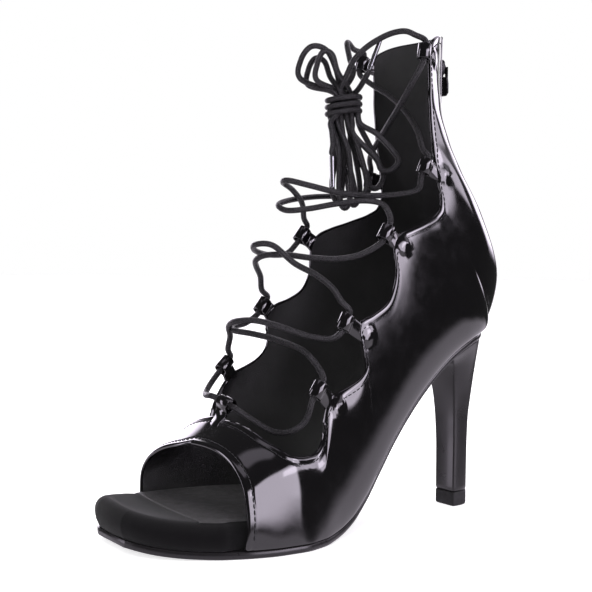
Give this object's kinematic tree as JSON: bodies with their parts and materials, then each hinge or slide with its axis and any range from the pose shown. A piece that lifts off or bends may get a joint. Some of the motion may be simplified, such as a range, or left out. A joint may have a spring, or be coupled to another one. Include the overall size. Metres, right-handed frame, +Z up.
{
  "type": "dance boot",
  "caption": "High-heeled, open-toe dance ankle boot with a padded forefoot, scalloped lace-up throat through loops, and a zip down the back.",
  "frame": {"origin": "on the floor under the middle of the heel tip", "axes": "+Z up; the toe points along -Y; +X is the outer (lateral) side of this left boot"},
  "size_m": [0.0842, 0.2162, 0.247],
  "materials": {
    "upper": "black patent, mirror-like",
    "loops": "black patent, mirror-like",
    "footbed": "black suede, matte",
    "sole": "dark leather edge, satin",
    "heel": "dark, satin",
    "heel_tip": "matte",
    "lace": "waxed round cord",
    "aglet": "clear, over dark cord",
    "zip": "woven tape with a coil",
    "zip_metal": "black, satin"
  },
  "bodies": {
    "boot": {"outsole": "sole", "insole": "footbed", "heel": "heel", "heel_tip": "heel_tip", "upper": "upper", "loop_vamp": "loops", "loop_lateral_1": "loops", "loop_lateral_2": "loops", "loop_lateral_3": "loops", "loop_lateral_4": "loops", "loop_lateral_5": "loops", "loop_medial_1": "loops", "loop_medial_2": "loops", "loop_medial_3": "loops", "loop_medial_4": "loops", "loop_medial_5": "loops", "lace_crossings": "lace", "lace_end_lateral": "lace", "lace_end_medial": "lace", "lace_knot": "lace", "lace_hank_top": "lace", "lace_hank_foot": "lace", "aglet_1": "aglet", "aglet_2": "aglet", "zip_chain": "zip", "zip_slider": "zip_metal"},
    "pull_tab": {"zip_pull": "zip_metal"}
  },
  "joints": [
    {"name": "pull_tab_swing", "type": "hinge", "parent": "boot", "child": "pull_tab", "pos_m": [0, -0.00977, 0.23086], "axis": [1, 0, 0], "range_deg": [0, 150]}
  ]
}
